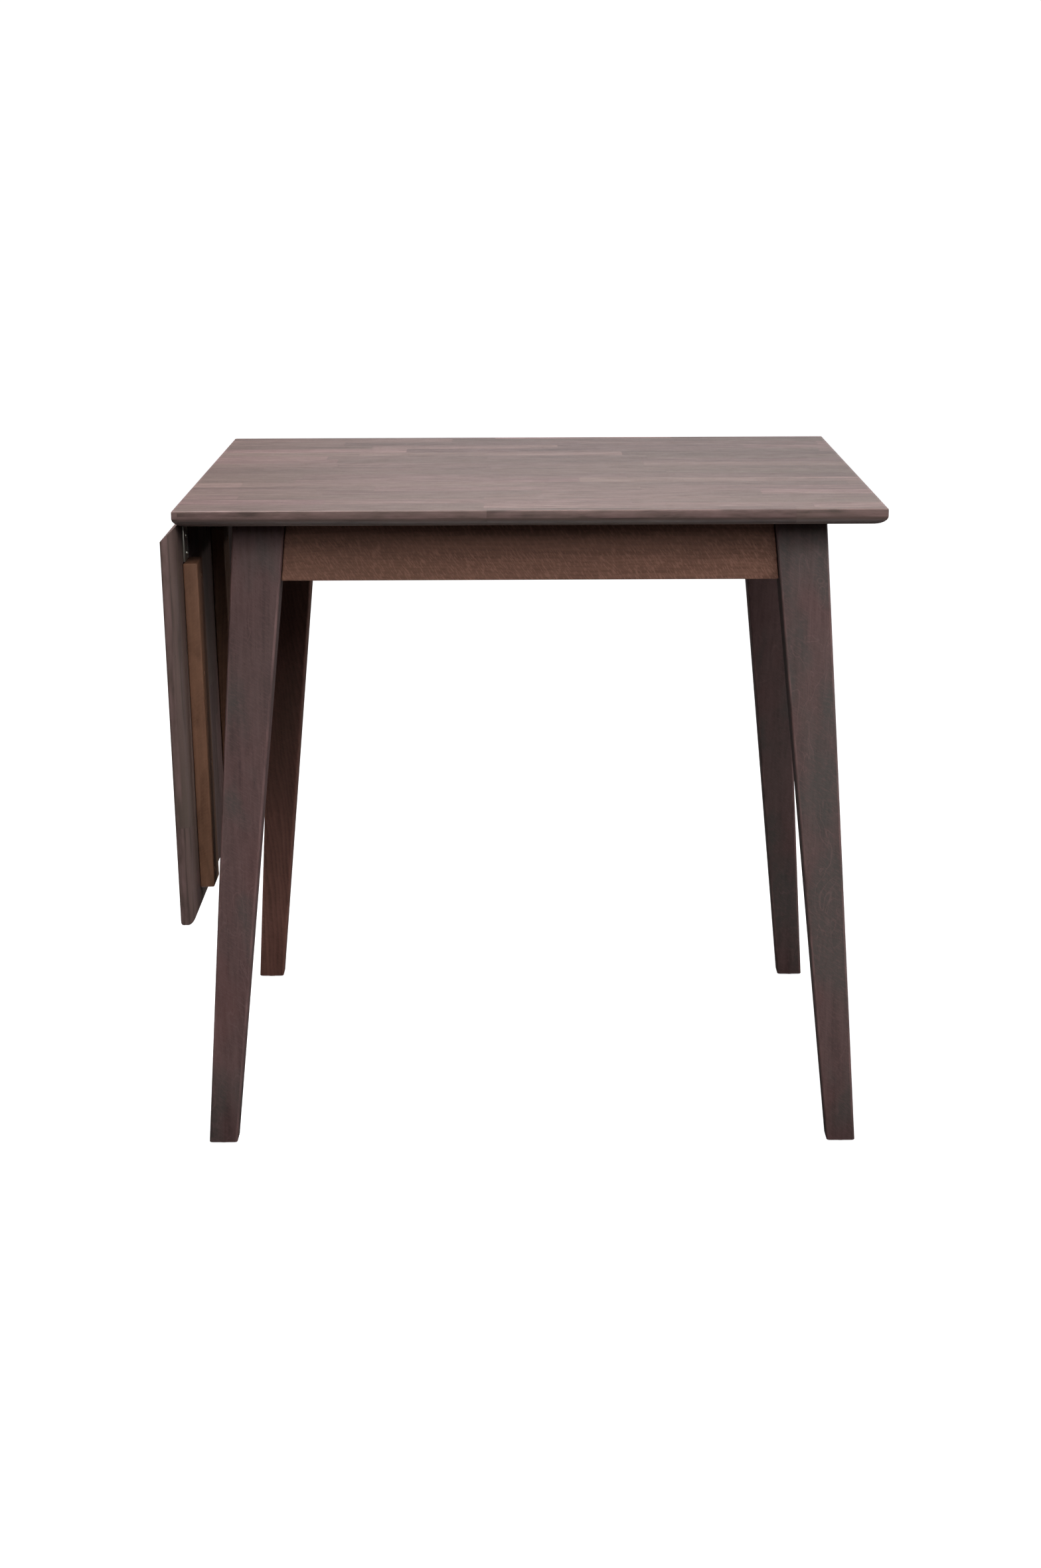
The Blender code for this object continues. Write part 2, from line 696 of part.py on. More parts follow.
# ---------------------------------------------------------------- build
leaf_swing = pivot("leaf_swing", HINGE_LINE, -LEAF_SWING)
hinge_line = pivot("hinge_line", HINGE_LINE)
build_top()
build_legs()
build_aprons()
build_leaf(leaf_swing)
build_hinges(leaf_swing, hinge_line)
build_stay(leaf_swing, hinge_line)
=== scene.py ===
"""Looks, light and camera for the drop-leaf table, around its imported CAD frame.

Metres, +Z up; the front is -Y and the leaf hangs at -X. Pieces are built about the
centre of the square top, which is a little off the origin, and then placed. Those of
the leaf are built as if it were raised, in coordinates about the hinge line, and then
turned to their resting place.
"""
import json
import math

import bmesh
import bpy
from mathutils import Matrix, Vector


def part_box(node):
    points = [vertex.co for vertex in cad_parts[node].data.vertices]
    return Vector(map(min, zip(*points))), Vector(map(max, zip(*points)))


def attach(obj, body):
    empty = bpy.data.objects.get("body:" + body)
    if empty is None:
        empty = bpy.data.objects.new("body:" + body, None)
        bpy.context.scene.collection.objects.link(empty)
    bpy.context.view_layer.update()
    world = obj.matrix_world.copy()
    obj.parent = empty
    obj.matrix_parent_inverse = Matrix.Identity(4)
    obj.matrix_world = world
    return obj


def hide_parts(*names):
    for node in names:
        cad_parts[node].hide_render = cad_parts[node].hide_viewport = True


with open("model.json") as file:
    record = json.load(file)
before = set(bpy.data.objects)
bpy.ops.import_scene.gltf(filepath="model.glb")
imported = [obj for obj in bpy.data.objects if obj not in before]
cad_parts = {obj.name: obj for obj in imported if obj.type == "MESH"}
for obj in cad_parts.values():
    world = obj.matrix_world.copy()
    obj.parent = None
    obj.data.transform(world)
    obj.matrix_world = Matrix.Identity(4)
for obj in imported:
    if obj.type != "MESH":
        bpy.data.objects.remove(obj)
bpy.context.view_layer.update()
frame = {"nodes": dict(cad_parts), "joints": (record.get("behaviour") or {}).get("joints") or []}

# ---------------------------------------------------------------- dimensions
EDGE_FACE = 0.0083        # upright part of a board's edge
UNDER_ROUND = 0.019       # how far the edge's under-round runs inwards
TOP_ARRIS = 0.0014        # rounding of the top's upper edge
LEAF_ARRIS = 0.0032       # the leaf's is rounder
CORNER = 0.0016           # rounding of a board's corners, seen from above
LEAF_START = 0.0152       # hinge line to the upper arris of the mitred edge
LEAF_LIP = 0.0015         # how far the mitre's lower arris passes the hinge line
POCKET = 0.0033           # room for a turning knuckle in the leaf
LEG_TOP = 0.0598          # legs' thickness under the top and at the floor
LEG_FOOT = 0.0330
LEG_EDGE = 0.003
LEG_EASE = 0.0012         # at the legs' two ends
LEAF_SPARE = 0.06         # the leaf's board is made this far past the hinge line, then cut
UNDER_STEPS = 10          # facets of a board's under-round and of its arris
ARRIS_STEPS = 4
SCREW_HEAD = 0.0034       # a screw head's radius, a domed one's height, the shank's radius
SCREW_DOME = 0.0019
SCREW_SHANK = 0.0016
BATTEN_SCREWS = (0.05, 0.37, 0.66, 0.95)      # along a batten, as shares of its length
BATTEN_STAGGER = 0.012    # to either side of its middle
FLAP_THICK = 0.0025
FLAP_SCREWS = (0.018, 0.038)                  # from the hinge line
BLOCK_SCREW = 0.034       # to either side of a corner block's middle
CLIP_SEAT = 0.0021        # where a clip's screws sit, from the top and from the apron
CLIP_SCREW_IN = 0.0125    # its screws: from the apron, to either side, below the top
CLIP_SCREW_APART = 0.008
CLIP_SCREW_DOWN = 0.0135
BRACKET_THICK = 0.0030
BRACKET_SCREW_APART = 0.0115
BRACKET_SCREW_IN = 0.005
BOLT_IN = 0.0028          # start of a hanger bolt's thread, and its washer
WASHER_OUT = 0.0026
STAVE = (0.0426, 0.30)    # a stave's width and usual length

WORN_AND_HIGHLIGHTED_BELOW = 0.7          # height on the legs above which nobody rubs them and no painted highlight lines their edges
BIG_FACE = 0.0015         # m2, for a leg's flat sides, which are hardly worn and get almost none of the painted highlight
FLAT_WEAR_AND_HIGHLIGHT = 0.06
EASED_WEAR = 0.6          # along an eased box's edges
SHARP = math.radians(40.0)                    # edges of a CAD shape that are eased

CENTRE = Vector((sum(corner.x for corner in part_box("table_top")) / 2, 0.0, 0.0))
PLACED = Matrix.Translation(CENTRE)                           # from the square's centre

JOINTS = {joint["name"]: joint for joint in frame["joints"]}
HINGE_LINE = Vector(JOINTS["leaf_hinge"]["pos_m"]) - CENTRE
SWING = math.radians(JOINTS["leaf_hinge"]["range_deg"][1])
RAISED = Matrix.Translation(HINGE_LINE)                       # raised leaf, from its hinge line
HANGING = RAISED @ Matrix.Rotation(-SWING, 4, "Y")            # the same leaf at rest

CORNERS = ("front_left", "front_right", "back_left", "back_right")
HINGES = ("front", "middle", "back")


# ---------------------------------------------------------------- node helpers
def add(tree, kind, inputs=None, **settings):
    """A shader node; an input is set to a number, or linked if it is a socket."""
    node = tree.nodes.new("ShaderNode" + kind)
    for name, value in settings.items():
        setattr(node, name, value)
    for key, value in (inputs or {}).items():
        if isinstance(value, bpy.types.NodeSocket):
            tree.links.new(value, node.inputs[key])
        else:
            node.inputs[key].default_value = value
    return node


def maths(tree, operation, a, b=0.0, c=0.0, clamp=False):
    node = add(tree, "Math", {0: a, 1: b, 2: c}, operation=operation)
    node.use_clamp = clamp
    return node.outputs[0]


def linear(channel):
    c = channel / 255.0
    return c / 12.92 if c <= 0.04045 else ((c + 0.055) / 1.055) ** 2.4


def colour(red, green, blue):
    """An sRGB colour, 0 to 255, as a shader takes it."""
    return (linear(red), linear(green), linear(blue), 1.0)


def mix(tree, share, a, b, blend="MIX"):
    node = add(tree, "Mix", data_type="RGBA", blend_type=blend)
    for socket, value in ((0, share), (6, a), (7, b)):
        if isinstance(value, bpy.types.NodeSocket):
            tree.links.new(value, node.inputs[socket])
        else:
            node.inputs[socket].default_value = value
    return node.outputs[2]


def scaled(tree, vector, scale, offset=(0.0, 0.0, 0.0)):
    moved = add(tree, "VectorMath", {0: vector, 1: scale, 2: offset}, operation="MULTIPLY_ADD")
    return moved.outputs[0]


def noise(tree, vector, detail=2.0, roughness=0.5, distortion=0.0):
    node = add(
        tree, "TexNoise",
        {"Vector": vector, "Scale": 1.0, "Detail": detail, "Roughness": roughness,
         "Distortion": distortion},
    )
    return node.outputs["Fac"]


def spread(tree, value, low, high):
    """value as a share of the way from low to high, held between 0 and 1."""
    node = add(tree, "MapRange", {"Value": value, "From Min": low, "From Max": high})
    return node.outputs["Result"]


def new_material(name):
    material = bpy.data.materials.new(name)
    material.use_nodes = True
    tree = material.node_tree
    return material, tree, tree.nodes["Principled BSDF"]


# ---------------------------------------------------------------- materials
ALONG = {"X": (0, 1, 2), "Y": (1, 0, 2), "Z": (2, 0, 1)}      # grain first, then across


def glued_staves(tree, along, across, width, usual):
    """Finger-jointed staves in lanes: the distance from a stave's middle line, a noise
    node with one random value for each stave, and the seams between them."""
    lane = maths(tree, "DIVIDE", across, width)
    row = maths(tree, "FLOOR", lane)
    luck = add(tree, "TexWhiteNoise", {"W": maths(tree, "ADD", row, 0.37)},
               noise_dimensions="1D").outputs["Value"]
    length = maths(tree, "MULTIPLY_ADD", luck, usual * 0.7, usual * 0.65)
    step = maths(tree, "ADD", maths(tree, "DIVIDE", along, length),
                 maths(tree, "MULTIPLY", luck, 23.7))
    cell = add(tree, "CombineXYZ", {0: row, 1: maths(tree, "FLOOR", step), 2: 1.3}).outputs[0]
    random = add(tree, "TexWhiteNoise", {"Vector": cell}, noise_dimensions="3D")
    from_middle = maths(tree, "MULTIPLY",
                        maths(tree, "SUBTRACT", maths(tree, "FRACT", lane), 0.5), width)
    seam = spread(tree, maths(tree, "ABSOLUTE", from_middle), width / 2 - 0.0006, width / 2)
    end = maths(tree, "MULTIPLY", maths(tree, "FRACT", step), length)
    return from_middle, random, maths(tree, "MAXIMUM", seam, spread(tree, end, 0.0007, 0.0))


def wood(name, light, dark, tint, grain="X", staves=None, gloss=0.5, contrast=1.0, flecks=0.0,
         rings=1.0, wear_and_highlight=0.2, patchy=0.0, curls=0.0):
    """Stained oak with growth rings, fibres, open pores, ray flecks and lightened edges, partly
    rubbed wear and partly a painted highlight.

    staves, (width, usual length), makes it a board glued up from finger-jointed
    staves, each with its own grain and tone.
    """
    material, tree, shader = new_material(name)
    place = add(tree, "SeparateXYZ", {0: add(tree, "TexCoord").outputs["Object"]})
    along, across, depth = (place.outputs[i] for i in ALONG[grain])

    if staves:
        from_middle, random, seam = glued_staves(tree, along, across, *staves)
        luck_x, luck_y, luck_z = add(
            tree, "SeparateXYZ", {0: random.outputs["Color"]}).outputs[:3]
    else:
        from_middle = across

    def shifted(socket, amount):
        return maths(tree, "MULTIPLY_ADD", random.outputs["Value"], amount,
                     socket) if staves else socket

    base = add(tree, "CombineXYZ", {
        0: shifted(along, 7.1), 1: shifted(across, 3.3), 2: shifted(depth, 5.9)}).outputs[0]

    # growth rings: distance from a wandering heart line
    wander = noise(tree, scaled(tree, base, (2.2, 9.0, 9.0)), 3.0)
    ripple = noise(tree, scaled(tree, base, (14.0, 60.0, 60.0)), 2.0)
    if staves:
        side = maths(tree, "ADD", from_middle,
                     maths(tree, "MULTIPLY_ADD", luck_x, 0.12, -0.06))
        under = maths(tree, "MULTIPLY_ADD", luck_y, 0.09, maths(tree, "SUBTRACT", depth, 0.72))
    else:
        side = maths(tree, "ADD", from_middle, 0.021)
        under = maths(tree, "ADD", depth, 0.035)
    reach = maths(tree, "SQRT", maths(
        tree, "ADD", maths(tree, "POWER", maths(tree, "ABSOLUTE", side), 2.0),
        maths(tree, "POWER", maths(tree, "ABSOLUTE", under), 2.0)))
    reach = maths(tree, "MULTIPLY_ADD", wander, 0.055, reach)
    reach = maths(tree, "MULTIPLY_ADD", ripple, 0.0009, reach)
    ring = maths(tree, "FRACT", maths(tree, "MULTIPLY", reach, 230.0))
    early = maths(tree, "MULTIPLY", spread(tree, ring, 0.0, 0.12), spread(tree, ring, 0.75, 0.12))

    # long fibres, and open pores that crowd the early wood
    fibres = noise(tree, scaled(tree, base, (7.0, 260.0, 260.0)), 4.0, 0.6)
    streaks = spread(tree, noise(tree, scaled(tree, base, (3.2, 74.0, 74.0)), 3.0, 0.55), 0.3, 0.72)
    pores = spread(tree, noise(tree, scaled(tree, base, (190.0, 2100.0, 2100.0)), 1.0), 0.60, 0.70)
    pores = maths(tree, "MULTIPLY", pores, maths(tree, "MULTIPLY_ADD", early, 0.65, 0.35))
    cloud = noise(tree, scaled(tree, base, (2.6, 7.0, 7.0)), 2.0)
    mottle = noise(tree, scaled(tree, base, (38.0, 70.0, 70.0)), 3.0, 0.6)

    shade = maths(tree, "MULTIPLY", early, 0.30 * rings * contrast)
    shade = maths(tree, "MULTIPLY_ADD", streaks, 0.42 * contrast, shade)
    shade = maths(tree, "MULTIPLY_ADD", spread(tree, fibres, 0.35, 0.70), 0.22 * contrast, shade)
    shade = maths(tree, "MULTIPLY_ADD", spread(tree, mottle, 0.3, 0.7), 0.18 * contrast, shade)
    shade = maths(tree, "ADD", shade, 0.40 - (0.37 + 0.15 * rings) * contrast, clamp=True)
    look = mix(tree, shade, light, dark)
    look = mix(tree, maths(tree, "MULTIPLY", spread(tree, cloud, 0.42, 0.70), 0.55), look, tint)
    if patchy:
        # patches where the stain took cooler or warmer, drifting round the corners
        drift = maths(tree, "MULTIPLY_ADD", place.outputs[1], 3.0, place.outputs[0])
        spot = add(tree, "CombineXYZ", {
            0: maths(tree, "MULTIPLY", along, 7.0), 1: maths(tree, "MULTIPLY", across, 13.0),
            2: maths(tree, "MULTIPLY", drift, 5.0)}).outputs[0]
        cool = spread(tree, noise(tree, spot, 2.5, 0.55), 0.50, 0.62)
        look = mix(tree, maths(tree, "MULTIPLY", cool, patchy), look, tint)
        warm = spread(tree, noise(tree, scaled(tree, spot, (1.3, 1.3, 1.3), (9.1, 4.7, 2.3)), 2.0),
                      0.54, 0.70)
        look = mix(tree, maths(tree, "MULTIPLY", warm, 0.45 * patchy), look,
                   (light[0], light[1] * 0.72, light[2] * 0.70, 1.0))
    if flecks:
        # ray flecks, aslant to the grain
        flat, other = (across, depth) if grain == "Z" else (depth, across)
        tilted = add(tree, "CombineXYZ", {
            0: maths(tree, "MULTIPLY_ADD", flat, 0.7, along),
            1: maths(tree, "MULTIPLY_ADD", along, -0.7, flat), 2: other}).outputs[0]
        dashes = noise(tree, scaled(tree, tilted, (620.0, 120.0, 500.0)), 2.0)
        ray = spread(tree, dashes, 0.48, 0.66)
        look = mix(tree, maths(tree, "MULTIPLY", ray, flecks), look, light)
    if curls:
        # thin pale curls here and there
        swirl = noise(tree, scaled(tree, base, (15.0, 40.0, 40.0)), 1.0, 0.5, 1.6)
        band = maths(tree, "ABSOLUTE", maths(tree, "SUBTRACT", swirl, 0.5))
        where = spread(tree, noise(tree, scaled(tree, base, (8.0, 22.0, 22.0)), 2.0), 0.48, 0.58)
        curl = maths(tree, "MULTIPLY", spread(tree, band, 0.020, 0.0), where)
        look = mix(tree, maths(tree, "MULTIPLY", curl, curls), look,
                   tuple(min(1.0, c * 1.35) for c in light[:3]) + (1.0,))
    look = mix(tree, maths(tree, "MULTIPLY", pores, 0.45), look, dark)
    if staves:
        # dark strokes and wider bands, then each stave's own tone
        strokes = noise(tree, scaled(tree, base, (8.0, 190.0, 190.0)), 1.5)
        strokes = spread(tree, strokes, 0.555, 0.64)
        bands = spread(tree, noise(tree, scaled(tree, base, (4.5, 46.0, 46.0)), 2.5), 0.57, 0.69)
        strokes = maths(tree, "MAXIMUM", strokes, maths(tree, "MULTIPLY", bands, 0.55))
        look = mix(tree, maths(tree, "MULTIPLY", strokes, 0.90), look, dark)
        tone = maths(tree, "MULTIPLY_ADD", maths(tree, "POWER", luck_z, 2.0), 0.60, 0.80)
        look = mix(tree, 1.0, look, add(
            tree, "CombineColor", {0: tone, 1: tone, 2: tone}).outputs[0], "MULTIPLY")
        look = mix(tree, maths(tree, "MULTIPLY", luck_y, 0.45), look, tint)
        look = mix(tree, maths(tree, "MULTIPLY", seam, 0.30), look, dark)

    # handled edges: the stain is rubbed thin in patches; the same lightening along the boards' and
    # legs' rounded edges is also a painted highlight
    worn_and_highlight = add(tree, "Attribute", attribute_name="wear_and_highlight").outputs["Fac"]
    patches = spread(tree, noise(tree, scaled(tree, base, (22.0, 90.0, 90.0)), 3.0, 0.6), 0.35, 0.7)
    worn_and_highlight = maths(tree, "MULTIPLY", worn_and_highlight, patches)
    bare_and_highlight = tuple(min(1.0, c * 1.55) for c in light[:3]) + (1.0,)
    look = mix(tree, maths(tree, "MULTIPLY", worn_and_highlight, wear_and_highlight), look, bare_and_highlight)
    tree.links.new(look, shader.inputs["Base Color"])

    rough = maths(tree, "MULTIPLY_ADD", mottle, 0.16, gloss - 0.08)
    rough = maths(tree, "MULTIPLY_ADD", pores, 0.12, rough)
    rough = maths(tree, "MULTIPLY_ADD", worn_and_highlight, -0.08, rough, clamp=True)
    tree.links.new(rough, shader.inputs["Roughness"])
    shader.inputs["Specular IOR Level"].default_value = 0.22

    height = maths(tree, "MULTIPLY_ADD", pores, -0.9, maths(tree, "MULTIPLY", fibres, 0.5))
    height = maths(tree, "MULTIPLY_ADD", early, -0.35, height)
    if staves:
        height = maths(tree, "MULTIPLY_ADD", seam, -0.8, height)
    bump = add(tree, "Bump", {"Height": height, "Strength": 0.35, "Distance": 0.00025})
    tree.links.new(bump.outputs[0], shader.inputs["Normal"])
    return material


def steel(name, shade, gloss, stretch=(1.0, 1.0, 1.0), stain=0.25):
    """Zinc-plated steel: drawing lines, a cloudy plating and small handling marks."""
    material, tree, shader = new_material(name)
    place = add(tree, "TexCoord").outputs["Object"]
    lines = noise(tree, scaled(tree, place, tuple(900.0 * s for s in stretch)), 3.0, 0.6)
    cloud = noise(tree, scaled(tree, place, (70.0, 70.0, 70.0)), 3.0, 0.6)
    marks = spread(tree, noise(tree, scaled(tree, place, (420.0, 420.0, 420.0)), 2.0), 0.62, 0.72)
    dull = tuple(c * 0.55 for c in shade[:3]) + (1.0,)
    warm = (min(1.0, shade[0] * 1.05), shade[1] * 0.98, shade[2] * 0.86, 1.0)
    look = mix(tree, maths(tree, "MULTIPLY", spread(tree, cloud, 0.35, 0.7), 0.6), shade, warm)
    look = mix(tree, maths(tree, "MULTIPLY", marks, stain), look, dull)
    tree.links.new(look, shader.inputs["Base Color"])
    shader.inputs["Metallic"].default_value = 1.0
    rough = maths(tree, "MULTIPLY_ADD", lines, 0.18, gloss - 0.09)
    rough = maths(tree, "MULTIPLY_ADD", marks, 0.15, rough)
    tree.links.new(rough, shader.inputs["Roughness"])
    bump = add(tree, "Bump", {"Height": lines, "Strength": 0.25, "Distance": 0.0001})
    tree.links.new(bump.outputs[0], shader.inputs["Normal"])
    return material


def nylon(name, shade):
    """Moulded nylon with a fine spark-eroded skin, scuffed where it slides."""
    material, tree, shader = new_material(name)
    place = add(tree, "TexCoord").outputs["Object"]
    skin = noise(tree, scaled(tree, place, (2600.0, 2600.0, 2600.0)), 2.0)
    scuffs = spread(tree, noise(tree, scaled(tree, place, (160.0, 900.0, 160.0)), 3.0), 0.5, 0.7)
    grey = tuple(min(1.0, c * 2.2) for c in shade[:3]) + (1.0,)
    look = mix(tree, maths(tree, "MULTIPLY", scuffs, 0.4), shade, grey)
    tree.links.new(look, shader.inputs["Base Color"])
    rough = maths(tree, "MULTIPLY_ADD", scuffs, 0.2, 0.45)
    tree.links.new(rough, shader.inputs["Roughness"])
    bump = add(tree, "Bump", {"Height": skin, "Strength": 0.4, "Distance": 0.0001})
    tree.links.new(bump.outputs[0], shader.inputs["Normal"])
    return material


MATERIALS = {
    "top_wood": wood(
        "stave_oak", colour(113, 90, 88), colour(64, 48, 47), colour(90, 78, 70),
        "X", staves=STAVE, gloss=0.50, contrast=0.95, rings=0.5, wear_and_highlight=0.45),
    "leg_wood": wood(
        "leg_oak", colour(108, 84, 82), colour(58, 42, 42), colour(72, 72, 69),
        "Z", gloss=0.55, contrast=0.9, flecks=0.35, rings=0.2, wear_and_highlight=0.7, patchy=0.6, curls=0.3),
    "leg_warm": wood(
        "leg_oak_warm", colour(139, 97, 86), colour(75, 50, 44), colour(100, 78, 68),
        "Z", gloss=0.55, contrast=0.85, flecks=0.3, wear_and_highlight=0.4),
    "apron_x": wood(
        "apron_oak_long", colour(142, 103, 87), colour(72, 46, 36), colour(110, 81, 65),
        "X", gloss=0.55, contrast=0.8, flecks=0.90, rings=0.5),
    "apron_y": wood(
        "apron_oak_cross", colour(142, 103, 87), colour(72, 46, 36), colour(110, 81, 65),
        "Y", gloss=0.55, contrast=0.8, flecks=0.90, rings=0.5),
    "batten_wood": wood(
        "batten_oak", colour(119, 85, 66), colour(66, 43, 31), colour(96, 71, 54),
        "X", gloss=0.60, contrast=0.85, flecks=0.3),
    "block_wood": wood(
        "block_oak", colour(176, 146, 112), colour(128, 98, 68), colour(158, 136, 108),
        "Z", gloss=0.68, contrast=0.8),
    "hinge_steel": steel("hinge_zinc", colour(190, 188, 182), 0.36, (1.0, 0.06, 1.0)),
    "fastener_steel": steel("screw_zinc", colour(200, 198, 192), 0.30),
    "stay_steel": steel("stay_zinc", colour(168, 167, 163), 0.42, (0.08, 1.0, 0.08)),
    "glide_nylon": nylon("glide_nylon", colour(54, 50, 48)),
}


# ---------------------------------------------------------------- mesh helpers
def cad_box(name):
    """A CAD node's lowest and highest corners, from the square's centre."""
    low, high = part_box(name)
    return low - CENTRE, high - CENTRE


def piece(name, data, body, slot, *nodes, material=None, matrix=Matrix.Identity(4)):
    """Put a mesh in the scene as a piece that rides on a body and replaces CAD nodes."""
    obj = bpy.data.objects.new(name, data)
    bpy.context.scene.collection.objects.link(obj)
    obj.matrix_world = PLACED @ matrix
    if not data.materials:
        data.materials.append(MATERIALS[material or slot])
    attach(obj, body)
    if nodes:
        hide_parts(*nodes)
    return obj


def finished(name, bm, angle=35.0):
    """A mesh from bm, which it frees, with its faces smooth up to angle."""
    bmesh.ops.recalc_face_normals(bm, faces=bm.faces)
    data = bpy.data.meshes.new(name)
    bm.to_mesh(data)
    bm.free()
    data.shade_smooth()
    data.set_sharp_from_angle(angle=math.radians(angle))
    return data


def ring(x0, x1, y0, y1, z, radius, steps=5):
    """A level rectangle with round corners, as points."""
    points = []
    for quarter, (x, y) in enumerate(((x1, y1), (x0, y1), (x0, y0), (x1, y0))):
        centre = Vector((x - math.copysign(radius, x - (x0 + x1) / 2),
                         y - math.copysign(radius, y - (y0 + y1) / 2), z))
        for k in range(steps + 1):
            turn = math.pi / 2 * (quarter + k / steps)
            points.append(centre + radius * Vector((math.cos(turn), math.sin(turn), 0.0)))
    return points


def eased(bm, edges, size, segments):
    """Round some edges of a bmesh, and return the new vertices."""
    return bmesh.ops.bevel(
        bm, geom=edges, offset=size, offset_type="OFFSET", segments=segments,
        profile=0.5, affect="EDGES", clamp_overlap=True,
    )["verts"]


def loft(rings, wear_and_highlight=()):
    """A closed bmesh through rings of equal length; the last argument names the rings that are
    lightened, as rubbed wear and a painted highlight.
    """
    bm = bmesh.new()
    layer = bm.verts.layers.float.new("wear_and_highlight")
    loops = []
    for index, points in enumerate(rings):
        loop = [bm.verts.new(p) for p in points]
        for vert in loop:
            vert[layer] = 1.0 if index in wear_and_highlight else 0.0
        loops.append(loop)
    for low, high in zip(loops, loops[1:]):
        for k in range(len(low)):
            n = (k + 1) % len(low)
            bm.faces.new((low[k], low[n], high[n], high[k]))
    bm.faces.new(reversed(loops[0]))
    bm.faces.new(loops[-1])
    return bm


def board(low, high, arris):
    """A board with a rounded arris, an upright edge and a long elliptical under-round."""
    x0, y0, z0 = low
    x1, y1, z1 = high
    edge = z1 - EDGE_FACE
    profile = []
    for k in range(UNDER_STEPS + 1):
        turn = math.pi / 2 * k / UNDER_STEPS
        profile.append((UNDER_ROUND * (1 - math.sin(turn)), edge - (edge - z0) * math.cos(turn)))
    for k in range(ARRIS_STEPS + 1):
        turn = math.pi / 2 * k / ARRIS_STEPS
        profile.append((arris * (1 - math.cos(turn)), z1 - arris * (1 - math.sin(turn))))
    profile.append((3 * arris, z1))
    rings = [ring(x0 + d, x1 - d, y0 + d, y1 - d, z, CORNER, 4) for d, z in profile]
    return loft(rings, wear_and_highlight=range(UNDER_STEPS, len(rings) - 1))       # edge face and arris, lightened: rubbed wear and a painted highlight


def rounded_box(low, high, edge, segments):
    bm = bmesh.new()
    layer = bm.verts.layers.float.new("wear_and_highlight")
    bmesh.ops.create_cube(bm, size=1.0)
    bmesh.ops.scale(bm, vec=high - low, verts=bm.verts)
    bmesh.ops.translate(bm, vec=(high + low) / 2, verts=bm.verts)
    for vert in eased(bm, bm.edges[:], edge, segments):
        vert[layer] = EASED_WEAR
    return bm


def lathe(profile, segments=24):
    """A solid of revolution about Z.

    Its profile is a list of (radius, z), from the axis at the top to the axis below.
    """
    bm = bmesh.new()
    rows = []
    for radius, z in profile:
        if radius < 1e-7:
            rows.append([bm.verts.new((0.0, 0.0, z))])
        else:
            rows.append([
                bm.verts.new((radius * math.cos(2 * math.pi * k / segments),
                              radius * math.sin(2 * math.pi * k / segments), z))
                for k in range(segments)])
    for upper, lower in zip(rows, rows[1:]):
        for k in range(segments):
            n = (k + 1) % segments
            corners = [upper[k % len(upper)], lower[k % len(lower)],
                       lower[n % len(lower)], upper[n % len(upper)]]
            bm.faces.new(list(dict.fromkeys(corners)))
    return bm


def cut(name, bm, *cutters, angle=35.0):
    """A mesh from bm with the cutters, other bmeshes, taken out of it."""
    target = bpy.data.objects.new(name, finished(name, bm, angle))
    bpy.context.scene.collection.objects.link(target)
    made = []
    for index, cutter in enumerate(cutters):
        tool = bpy.data.objects.new(f"{name}_cutter_{index}", finished(name + "_cutter", cutter))
        bpy.context.scene.collection.objects.link(tool)
        step = target.modifiers.new("cut", "BOOLEAN")
        step.operation, step.solver, step.object = "DIFFERENCE", "EXACT", tool
        made.append(tool)
    graph = bpy.context.evaluated_depsgraph_get()
    data = bpy.data.meshes.new_from_object(target.evaluated_get(graph))
    data.name = name
    for obj in [target] + made:
        bpy.data.objects.remove(obj, do_unlink=True)
    data.shade_smooth()
    data.set_sharp_from_angle(angle=math.radians(angle))
    return data


def refined(node, name, edge, body, slot, segments=2):
    """The CAD node's own shape with its sharp edges eased, as a piece that stands for it."""
    bm = bmesh.new()
    bm.from_mesh(frame["nodes"][node].data)
    bmesh.ops.translate(bm, vec=-CENTRE, verts=bm.verts)
    bmesh.ops.remove_doubles(bm, verts=bm.verts, dist=0.000002)
    bmesh.ops.dissolve_limit(
        bm, angle_limit=math.radians(0.5), verts=bm.verts[:], edges=bm.edges[:])
    eased(bm, [e for e in bm.edges if e.calc_face_angle(0.0) > SHARP], edge, segments)
    bmesh.ops.triangulate(bm, faces=[f for f in bm.faces if len(f.verts) > 4])
    return piece(name, finished(name, bm), body, slot, node)


def facing(point, direction, up=(0.0, 1.0, 0.0)):
    """A matrix that puts +Z along direction at point."""
    z = Vector(direction).normalized()
    if abs(z.dot(Vector(up))) > 0.95:
        up = (1.0, 0.0, 0.0)
    x = Vector(up).cross(z).normalized()
    turn = Matrix((x, z.cross(x), z)).transposed().to_4x4()
    return Matrix.Translation(point) @ turn


# ---------------------------------------------------------------- screws
def cross_recess(radius, depth, z):
    """The two tapered wings of a cross-head driver, point down, as cutters."""
    wings = []
    for turned in (False, True):
        bm = bmesh.new()
        bmesh.ops.create_cube(bm, size=2.0)
        for vert in bm.verts:
            top = vert.co.z > 0
            long = radius if top else radius * 0.35
            thin = radius * (0.24 if top else 0.16)
            x, y = (long, thin) if not turned else (thin, long)
            vert.co = (math.copysign(x, vert.co.x), math.copysign(y, vert.co.y),
                       z + (0.001 if top else -depth))
        wings.append(bm)
    return wings


